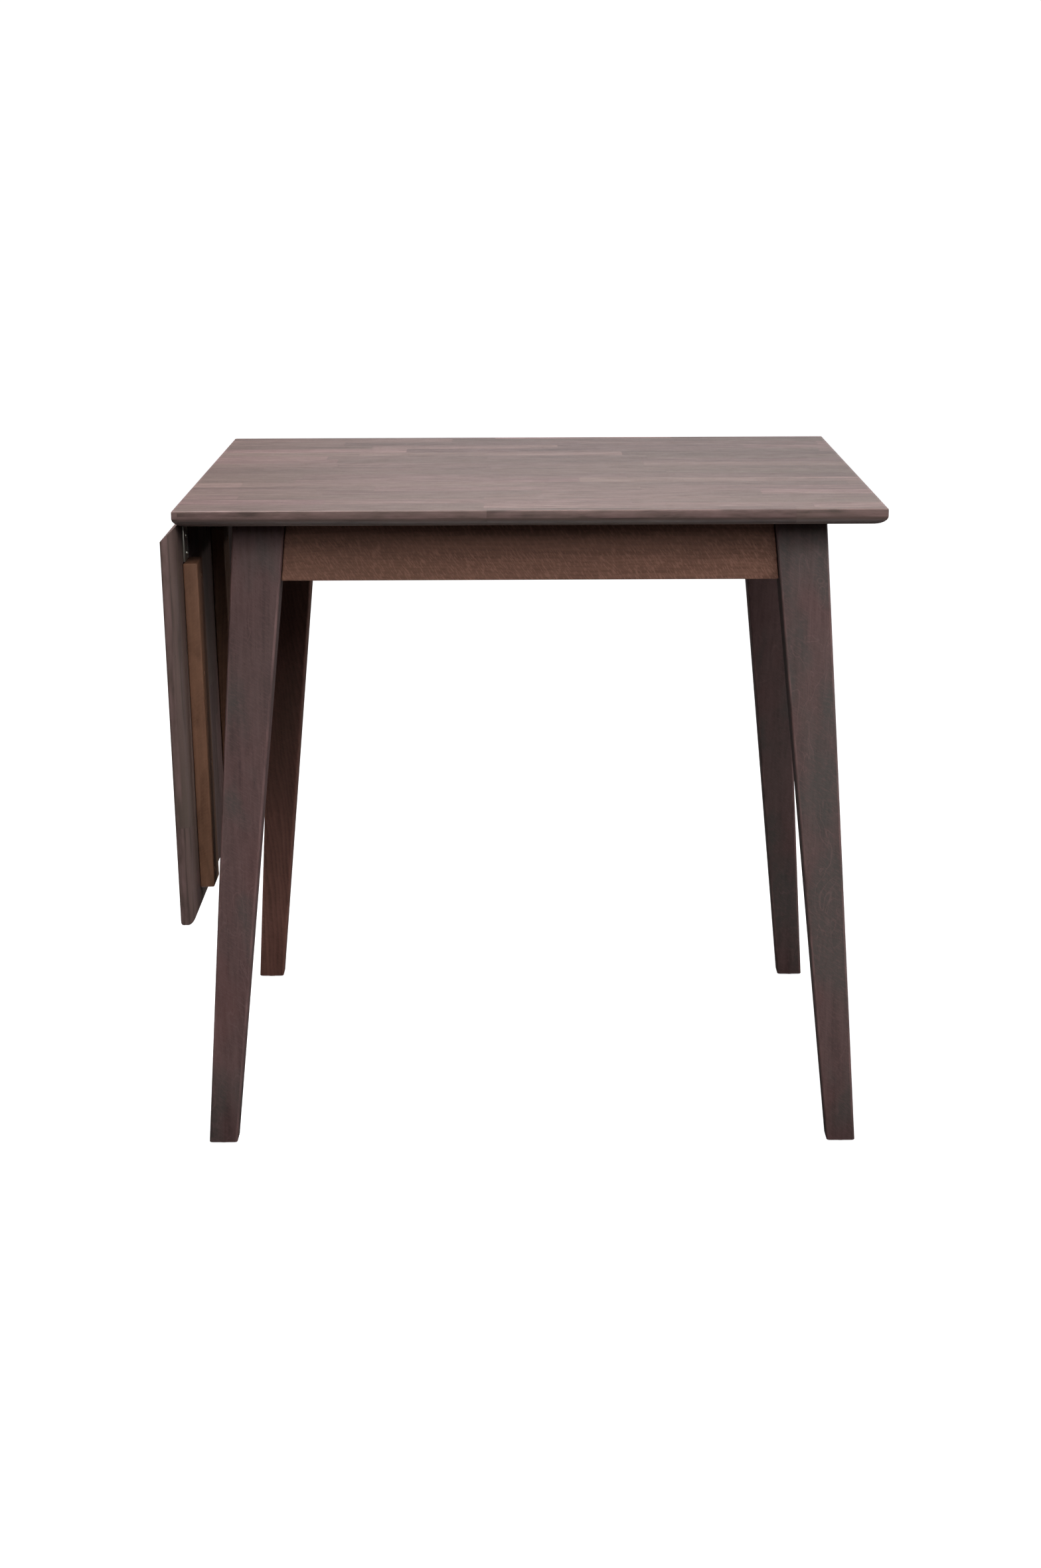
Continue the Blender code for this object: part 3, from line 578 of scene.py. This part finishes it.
def screw_mesh(name, domed):
    """A screw head on its own origin, with a cross recess; its shank runs down -Z."""
    steps = 8
    if domed:
        turns = [math.pi / 2 * k / steps for k in range(steps + 1)]
        profile = [(SCREW_HEAD * math.sin(t) ** 0.85, SCREW_DOME * math.cos(t)) for t in turns]
        profile += [(SCREW_HEAD * 0.97, 0.0)]
        crown = SCREW_DOME
    else:
        profile = [(0.0, 0.0), (SCREW_HEAD * 0.96, 0.0), (SCREW_HEAD, -0.0002),
                   (SCREW_HEAD * 0.55, -0.0018)]
        crown = 0.0
    neck = -0.0006 if domed else -0.0024
    profile += [(SCREW_SHANK, neck), (SCREW_SHANK, -0.0085), (0.0, -0.0105)]
    return cut(name, lathe(profile, 28), *cross_recess(0.0019, 0.0013, crown - 0.0001))


DOME_SCREW = screw_mesh("dome_screw", True)
FLAT_SCREW = screw_mesh("flat_screw", False)


def screw(name, body, point, direction, angle, *nodes, domed=True, matrix=None):
    """A screw whose head faces direction, turned by angle degrees as the driver left it."""
    turn = facing(point, direction) @ Matrix.Rotation(math.radians(angle), 4, "Z")
    if matrix is not None:
        turn = matrix @ turn
    mesh = DOME_SCREW if domed else FLAT_SCREW
    return piece(name, mesh, body, "fastener_steel", *nodes, matrix=turn)


# ---------------------------------------------------------------- top and leaf
def build_top():
    mesh = finished("top_board", board(*cad_box("table_top"), TOP_ARRIS), 30)
    piece("top_board", mesh, "frame", "top_wood", "table_top")


def raised_box(node):
    """Corners of a leaf node's box in the raised leaf's coordinates."""
    back = HANGING.inverted()
    points = [back @ (v.co - CENTRE) for v in frame["nodes"][node].data.vertices]
    return (Vector([min(p[i] for p in points) for i in range(3)]),
            Vector([max(p[i] for p in points) for i in range(3)]))


def knuckle_pocket(place):
    """The room that a hinge's knuckle needs in the leaf, as a cutter."""
    low, high = cad_box("hinge_pin_" + place)
    reach = (high.y - low.y) / 2 + 0.001
    pocket = lathe([(0.0, reach), (POCKET, reach), (POCKET, -reach), (0.0, -reach)], 24)
    bmesh.ops.rotate(pocket, matrix=Matrix.Rotation(math.pi / 2, 3, "X"), verts=pocket.verts)
    bmesh.ops.translate(pocket, vec=(0.0, (low.y + high.y) / 2, 0.0), verts=pocket.verts)
    return pocket


def build_leaf():
    low, high = raised_box("leaf_panel")
    bm = board((low.x, low.y, 0.0), (LEAF_SPARE, high.y, high.z), LEAF_ARRIS)
    layer = bm.verts.layers.float["wear_and_highlight"]
    made = bmesh.ops.bisect_plane(
        bm, geom=bm.verts[:] + bm.edges[:] + bm.faces[:], dist=0.000001,
        plane_co=(-LEAF_START, 0.0, high.z), plane_no=(high.z, 0.0, LEAF_START + LEAF_LIP),
        clear_outer=True)
    rim = [g for g in made["geom_cut"] if isinstance(g, bmesh.types.BMEdge)]
    bmesh.ops.holes_fill(bm, edges=rim)
    arris = [e for e in rim if all(v.co.z > high.z - 0.0001 for v in e.verts)]
    for vert in eased(bm, arris, 0.0012, 3):
        vert[layer] = 1.0
    data = cut("leaf_board", bm, *[knuckle_pocket(place) for place in HINGES], angle=30)
    data.transform(RAISED)            # its grain then goes on from the top's
    piece("leaf_board", data, "leaf", "top_wood", "leaf_panel",
          matrix=HANGING @ RAISED.inverted())


def screw_seat(point):
    """The countersink of a flat screw whose head faces down, as a cutter."""
    seat = lathe([(0.0, 0.001), (0.0052, 0.001), (0.0036, -0.0006), (0.0030, -0.0030),
                  (0.0, -0.0030)], 24)
    bmesh.ops.transform(
        seat, matrix=facing(point, (0, 0, -1)), space=Matrix.Identity(4), verts=seat.verts)
    return seat


def build_battens():
    for index, place in enumerate(HINGES):
        low, high = raised_box("leaf_batten_" + place)
        spots = [(low.x + (high.x - low.x) * along,
                  (low.y + high.y) / 2 + (BATTEN_STAGGER if k % 2 else -BATTEN_STAGGER))
                 for k, along in enumerate(BATTEN_SCREWS)]
        seats = [screw_seat((x, y, low.z)) for x, y in spots]
        data = cut("batten_" + place, rounded_box(low, high, 0.0018, 4), *seats)
        piece("batten_" + place, data, "leaf", "batten_wood", "leaf_batten_" + place,
              matrix=HANGING)
        for k, (x, y) in enumerate(spots):
            screw(f"batten_screw_{place}_{k + 1}", "leaf", (x, y, low.z + 0.0006), (0, 0, -1),
                  37 * k + 21 * index, domed=False, matrix=HANGING)


# ---------------------------------------------------------------- legs, aprons, joints
def thread_mesh(name, radius, long, pitch, depth, around=18, per_turn=6):
    """A rod along Z with a helical thread."""
    rings = []
    count = int(long / pitch * per_turn)
    for row in range(count + 1):
        z = long * row / count
        ease = min(1.0, min(z, long - z) / (1.2 * pitch) + 0.25)
        points = []
        for k in range(around):
            phase = (z / pitch - k / around) % 1.0
            groove = abs(2 * phase - 1)
            r = radius - depth * groove - (1 - ease) * depth * 1.5
            turn = 2 * math.pi * k / around
            points.append(Vector((r * math.cos(turn), r * math.sin(turn), z)))
        rings.append(points)
    return finished(name, loft(rings), 60)


def nut_mesh(name, across, thick, bore, chamfer=0.0007, per_side=6):
    """A hexagon nut on Z, its corners chamfered by a cone on both faces."""
    bm = bmesh.new()
    half = thick / 2
    loops = []
    for z, largest in ((-half, across / 2), (-half + chamfer, across / 2 * 1.155),
                       (half - chamfer, across / 2 * 1.155), (half, across / 2)):
        loop = []
        for k in range(6 * per_side):
            turn = 2 * math.pi * k / (6 * per_side)
            flat = across / 2 / math.cos((turn % (math.pi / 3)) - math.pi / 6)
            loop.append(bm.verts.new((min(flat, largest) * math.cos(turn),
                                      min(flat, largest) * math.sin(turn), z)))
        loops.append(loop)
    for low, high in zip(loops, loops[1:]):
        for k in range(len(low)):
            n = (k + 1) % len(low)
            bm.faces.new((low[k], low[n], high[n], high[k]))
    bm.faces.new(reversed(loops[0]))
    bm.faces.new(loops[-1])
    hole = lathe([(0.0, thick), (bore, thick), (bore, -thick), (0.0, -thick)], 24)
    return cut(name, bm, hole, angle=25)


def tube(outer, inner, low, high, edge, segments=32):
    """A washer or bush on Z, its outer edges eased."""
    profile = [(inner, low), (outer - edge, low), (outer, low + edge), (outer, high - edge),
               (outer - edge, high), (inner, high)]
    bm = bmesh.new()
    rows = [[bm.verts.new((r * math.cos(2 * math.pi * k / segments),
                           r * math.sin(2 * math.pi * k / segments), z))
             for k in range(segments)] for r, z in profile]
    for row, after in zip(rows, rows[1:] + rows[:1]):
        for k in range(segments):
            n = (k + 1) % segments
            bm.faces.new((row[k], row[n], after[n], after[k]))
    return bm


BOLT = thread_mesh("hanger_thread", radius=0.0040, long=0.056, pitch=0.0014, depth=0.0006)
NUT = nut_mesh("hex_nut", across=0.0128, thick=0.0050, bore=0.0041)
WASHER = finished(
    "washer", tube(outer=0.0082, inner=0.0043, low=0.0, high=0.0006, edge=0.0002))
GLIDE = finished("glide", lathe(
    [(0.0, 0.0007), (0.0030, 0.0007), (0.0036, 0.0012), (0.0042, 0.0016), (0.0098, 0.0016),
     (0.0105, 0.0014), (0.0109, 0.0010), (0.0110, 0.0005), (0.0108, 0.0), (0.0, 0.0)], 40))
NAIL = finished("glide_nail", lathe(
    [(0.0, 0.0012), (0.0012, 0.0011), (0.0022, 0.0009), (0.0026, 0.00075), (0.0024, 0.0006),
     (0.0, 0.0006)], 24))


def leg_mesh(name, low, high, sx, sy):
    """A splayed, tapered leg between a leg's lowest and highest corners."""
    foot_x, foot_y = (max(abs(low[i]), abs(high[i])) for i in (0, 1))
    top_x, top_y = (min(abs(low[i]), abs(high[i])) for i in (0, 1))
    long = high.z - low.z

    def level(z, inset):
        share = (high.z - z) / long
        rect = []
        for sign, foot, top in ((sx, foot_x, top_x), (sy, foot_y, top_y)):
            out = (top + LEG_TOP) + (foot - top - LEG_TOP) * share - inset
            inside = top + (foot - LEG_FOOT - top) * share + inset
            rect += sorted((sign * inside, sign * out))
        return ring(*rect, z, LEG_EDGE, 6)

    rings = [level(low.z, LEG_EASE), level(low.z + LEG_EASE * 0.3, LEG_EASE * 0.3),
             level(low.z + LEG_EASE, 0.0)]
    rings += [level(low.z + long * k / 8, 0.0) for k in range(1, 8)]
    rings += [level(high.z - LEG_EASE, 0.0), level(high.z, LEG_EASE * 0.5)]
    bm = loft(rings)
    layer = bm.verts.layers.float["wear_and_highlight"]
    # below that height the rounded corners are lightened: rubbed wear and a painted highlight along
    # the edges; the flat sides hardly
    for vert in bm.verts:
        vert[layer] = 0.0 if vert.co.z > WORN_AND_HIGHLIGHTED_BELOW else 1.0
    for face in bm.faces:
        if face.calc_area() > BIG_FACE:
            for vert in face.verts:
                vert[layer] = FLAT_WEAR_AND_HIGHLIGHT
    return finished(name, bm)


def hanger(place, index, sx, sy, way):
    """A corner joint's threaded hanger bolt, nut and washer; way is outwards."""
    low, high = cad_box("hanger_bolt_" + place)
    start = Vector((min(abs(low.x), abs(high.x)) * sx, min(abs(low.y), abs(high.y)) * sy,
                    (low.z + high.z) / 2))
    piece("threaded_bolt_" + place, BOLT, "frame", "fastener_steel", "hanger_bolt_" + place,
          matrix=facing(start, way, (0, 0, 1)) @ Matrix.Translation((0, 0, BOLT_IN)))
    low, high = cad_box("hanger_nut_" + place)
    middle = (low + high) / 2
    turn = Matrix.Rotation(math.radians(14 + 23 * index), 4, "Z")
    piece("hex_nut_" + place, NUT, "frame", "fastener_steel", "hanger_nut_" + place,
          matrix=facing(middle, way, (0, 0, 1)) @ turn)
    piece("washer_" + place, WASHER, "frame", "fastener_steel",
          matrix=facing(middle + way * WASHER_OUT, way, (0, 0, 1)))


def glide(place):
    """A nailed floor glide, face down."""
    low, high = cad_box("foot_glide_" + place)
    middle = Vector(((low.x + high.x) / 2, (low.y + high.y) / 2, high.z))
    down = Matrix.Translation(middle) @ Matrix.Rotation(math.pi, 4, "X")
    piece("glide_" + place, GLIDE, "frame", "glide_nylon", "foot_glide_" + place, matrix=down)
    piece("glide_nail_" + place, NAIL, "frame", "fastener_steel", matrix=down)


def corner_block(place, index, sx, sy, way):
    """A block with eased edges, and its two screws into the aprons."""
    refined("corner_block_" + place, "block_" + place, 0.0012, "frame", "block_wood", 3)
    low, high = cad_box("corner_block_" + place)
    block = frame["nodes"]["corner_block_" + place].data
    inner = min(way.dot(v.co - CENTRE) for v in block.vertices)
    side = Vector((-sy, sx, 0.0)).normalized() * sx * sy
    for k, off in enumerate((-BLOCK_SCREW, BLOCK_SCREW)):
        point = Vector((0, 0, (low.z + high.z) / 2)) + way * (inner - 0.0001) + side * off
        screw(f"block_screw_{place}_{k + 1}", "frame", point, -way, 31 * index + 50 * k)


def build_legs():
    for index, place in enumerate(CORNERS):
        sx = -1 if "left" in place else 1
        sy = -1 if "front" in place else 1
        way = Vector((sx, sy, 0.0)).normalized()
        name = "leg_" + place
        piece(name + "_oak", leg_mesh(name + "_oak", *cad_box(name), sx, sy), "frame",
              "leg_wood", name, material="leg_warm" if place == "back_left" else "leg_wood")
        hanger(place, index, sx, sy, way)
        glide(place)
        corner_block(place, index, sx, sy, way)


def build_aprons():
    for place, turn in {"front": -90, "back": 90, "left": 180, "right": 0}.items():
        oak = MATERIALS["apron_x" if place in ("front", "back") else "apron_y"]
        slots = frame["nodes"]["apron_" + place].data.materials
        slots.clear()
        slots.append(oak)
        refined("top_clip_" + place, "clip_" + place, 0.0003, "frame", "fastener_steel")
        out = Matrix.Rotation(math.radians(turn), 4, "Z")
        low, high = cad_box("top_clip_" + place)
        reach = max(abs(low.x), abs(high.x), abs(low.y), abs(high.y))
        for k, side in enumerate((-CLIP_SCREW_APART, CLIP_SCREW_APART)):
            point = out @ Vector((reach - CLIP_SCREW_IN, side, high.z - CLIP_SEAT))
            screw(f"clip_screw_{place}_{k + 1}", "frame", point, (0, 0, -1), 40 * k + turn)
        point = out @ Vector((reach - CLIP_SEAT, 0.0, high.z - CLIP_SCREW_DOWN))
        screw(f"clip_screw_{place}_3", "frame", point, out @ Vector((-1, 0, 0)), 25 + turn)


# ---------------------------------------------------------------- hinges and stay
def build_hinges():
    for index, place in enumerate(HINGES):
        refined("hinge_fixed_flap_" + place, "fixed_flap_" + place, 0.0003, "frame", "hinge_steel")
        refined("hinge_leaf_flap_" + place, "leaf_flap_" + place, 0.0003, "leaf", "hinge_steel")
        refined("hinge_pin_" + place, "knuckle_pin_" + place, 0.0002, "frame", "hinge_steel")
        low, high = cad_box("hinge_fixed_flap_" + place)
        y = (low.y + high.y) / 2
        for k, x in enumerate(FLAP_SCREWS):
            point = Vector((HINGE_LINE.x + x, y, HINGE_LINE.z - FLAP_THICK))
            screw(f"flap_screw_{place}_{k + 1}", "frame", point, (0, 0, -1),
                  17 + 33 * k + 20 * index)
            screw(f"leaf_screw_{place}_{k + 1}", "leaf", (-x, y, -FLAP_THICK), (0, 0, -1),
                  61 + 47 * k + 35 * index, f"hinge_screw_{place}_{k + 1}", matrix=HANGING)


def build_stay():
    refined("stay_bracket", "pivot_bracket", 0.0004, "frame", "stay_steel")
    refined("stay_pivot_pin", "pivot_rivet", 0.0003, "frame", "fastener_steel")
    refined("stay_arm", "folding_arm", 0.0005, "stay", "stay_steel")
    refined("stay_slide_pin", "slide_rivet", 0.0003, "stay", "fastener_steel")
    refined("stay_track", "slotted_track", 0.0004, "leaf", "stay_steel")
    for k in (1, 2):
        node = f"stay_track_screw_{k}"
        low, high = cad_box(node)
        point = Vector(((low.x + high.x) / 2, high.y - SCREW_DOME, (low.z + high.z) / 2))
        screw(f"track_screw_{k}", "leaf", point, (0, 1, 0), 12 + 44 * k, node)
    low, high = cad_box("stay_bracket")
    y = (low.y + high.y) / 2
    face = cad_box("apron_left")[0].x - BRACKET_THICK
    spots = [(y + side, z) for z in (high.z - BRACKET_SCREW_IN, low.z + BRACKET_SCREW_IN)
             for side in (-BRACKET_SCREW_APART, BRACKET_SCREW_APART)]
    for k, spot in enumerate(spots):
        screw(f"bracket_screw_{k + 1}", "frame", (face, *spot), (-1, 0, 0), 29 * k + 8)


build_top()
build_leaf()
build_battens()
build_legs()
build_aprons()
build_hinges()
build_stay()


# ---------------------------------------------------------------- stage, light, camera
FLOOR_SIZE = 60.0
FLOOR_GREY, FLOOR_GLOW = 0.40, 0.91
BACKDROP_GLOW = 1.02
WORLD_FROM, WORLD_TO = -0.1, 0.8          # heights between which the world lightens
WORLD_LOW, WORLD_HIGH = 0.045, 0.30
FULL_BEAM = 180.0

# name, place, aim, size in metres, watts and beam in degrees, from the square top's centre
SOFTBOXES = (
    ("overhead_softbox", (-0.62, -0.45, 2.60), (-0.2, -0.1, 0.70), (1.2, 1.2), 66.0, FULL_BEAM),
    ("key_softbox", (0.6, -2.0, 2.45), (0.0, -0.2, 0.5), (1.4, 1.4), 23.0, FULL_BEAM),
    ("front_softbox", (0.4, -3.2, 2.10), (0.0, -0.4, 0.7), (1.5, 1.5), 32.0, FULL_BEAM),
    ("side_softbox", (2.3, -2.2, 1.9), (0.0, -0.1, 0.5), (1.2, 1.2), 24.0, FULL_BEAM),
    ("under_softbox", (3.0, 0.6, 0.8), (-0.4, -0.1, 0.45), (1.2, 1.2), 24.0, FULL_BEAM),
    ("left_softbox", (-2.8, 1.1, 1.9), (0.0, 0.0, 0.5), (1.4, 1.4), 26.0, FULL_BEAM),
    ("floor_bounce", (0.0, -0.29, 0.012), (0.0, -0.36, 0.73), (0.94, 0.10), 0.28, 60.0),
    ("corner_bounce", (-0.46, -0.43, 0.012), (-0.37, -0.39, 0.73), (0.14, 0.10), 0.05, 50.0),
    ("corner_bounce", (0.46, -0.43, 0.012), (0.37, -0.39, 0.73), (0.14, 0.10), 0.05, 50.0),
    ("back_softbox", (0.6, 4.2, 2.6), (0.0, 0.0, 0.4), (2.6, 2.6), 27.0, FULL_BEAM),
)

CAMERA_LENS = 71.757      # mm, for 36 mm along the frame's long side, its height
CAMERA_AT = (-0.00682, -3.88518, 1.18420)
CAMERA_TURN = 0.0810      # degrees, to the left; then down from level, and rolled clockwise
CAMERA_DOWN = 12.1124
CAMERA_ROLL = 0.2428


def glowing(name, grey, glow):
    """A matt material that also gives off white light of its own."""
    material, _, shader = new_material(name)
    shader.inputs["Base Color"].default_value = (grey, grey, grey, 1.0)
    shader.inputs["Emission Color"].default_value = (1.0, 1.0, 1.0, 1.0)
    shader.inputs["Emission Strength"].default_value = glow
    return material, shader


def build_stage():
    bm = bmesh.new()
    bmesh.ops.create_grid(bm, x_segments=8, y_segments=8, size=FLOOR_SIZE)
    floor = bpy.data.objects.new("floor", finished("floor", bm))
    material, shader = glowing("pale_floor", FLOOR_GREY, FLOOR_GLOW)
    shader.inputs["Roughness"].default_value = 0.9
    shader.inputs["Specular IOR Level"].default_value = 0.0
    floor.data.materials.append(material)

    around = tube(outer=59.0, inner=58.5, low=-1.0, high=45.0, edge=0.2, segments=64)
    wall = bpy.data.objects.new("backdrop", finished("backdrop", around))
    wall.data.materials.append(glowing("white_backdrop", 0.0, BACKDROP_GLOW)[0])
    wall.visible_shadow = False
    for obj in (floor, wall):
        bpy.context.scene.collection.objects.link(obj)
        obj.visible_diffuse = False
        obj.visible_glossy = False


def softbox(name, location, target, size, power, beam):
    light = bpy.data.lights.new(name, "AREA")
    light.shape = "RECTANGLE"
    light.size, light.size_y = size
    light.energy = power
    light.spread = math.radians(beam)
    obj = bpy.data.objects.new(name, light)
    bpy.context.scene.collection.objects.link(obj)
    obj.location = CENTRE + Vector(location)
    obj.rotation_euler = (Vector(target) - Vector(location)).to_track_quat("-Z", "Y").to_euler()
    obj.visible_camera = False


def build_light():
    world = bpy.data.worlds.new("studio")
    bpy.context.scene.world = world
    world.use_nodes = True
    tree = world.node_tree
    height = add(tree, "SeparateXYZ", {0: add(tree, "TexCoord").outputs["Generated"]}).outputs[2]
    ramp = add(tree, "ValToRGB", {0: spread(tree, height, WORLD_FROM, WORLD_TO)})
    for stop, grey in zip(ramp.color_ramp.elements, (WORLD_LOW, WORLD_HIGH)):
        stop.color = (grey, grey, grey, 1.0)
    tree.links.new(ramp.outputs[0], tree.nodes["Background"].inputs["Color"])
    for light in SOFTBOXES:
        softbox(*light)


def build_camera():
    data = bpy.data.cameras.new("camera")
    data.sensor_width = 36.0
    data.lens = CAMERA_LENS
    data.clip_end = 200.0
    camera = bpy.data.objects.new("camera", data)
    bpy.context.scene.collection.objects.link(camera)
    camera.matrix_world = (
        PLACED @ Matrix.Translation(CAMERA_AT)
        @ Matrix.Rotation(math.radians(CAMERA_TURN), 4, "Z")
        @ Matrix.Rotation(math.radians(90.0 - CAMERA_DOWN), 4, "X")
        @ Matrix.Rotation(math.radians(-CAMERA_ROLL), 4, "Z"))
    bpy.context.scene.camera = camera


build_stage()
build_light()
build_camera()
bpy.context.scene.view_settings.view_transform = "Standard"
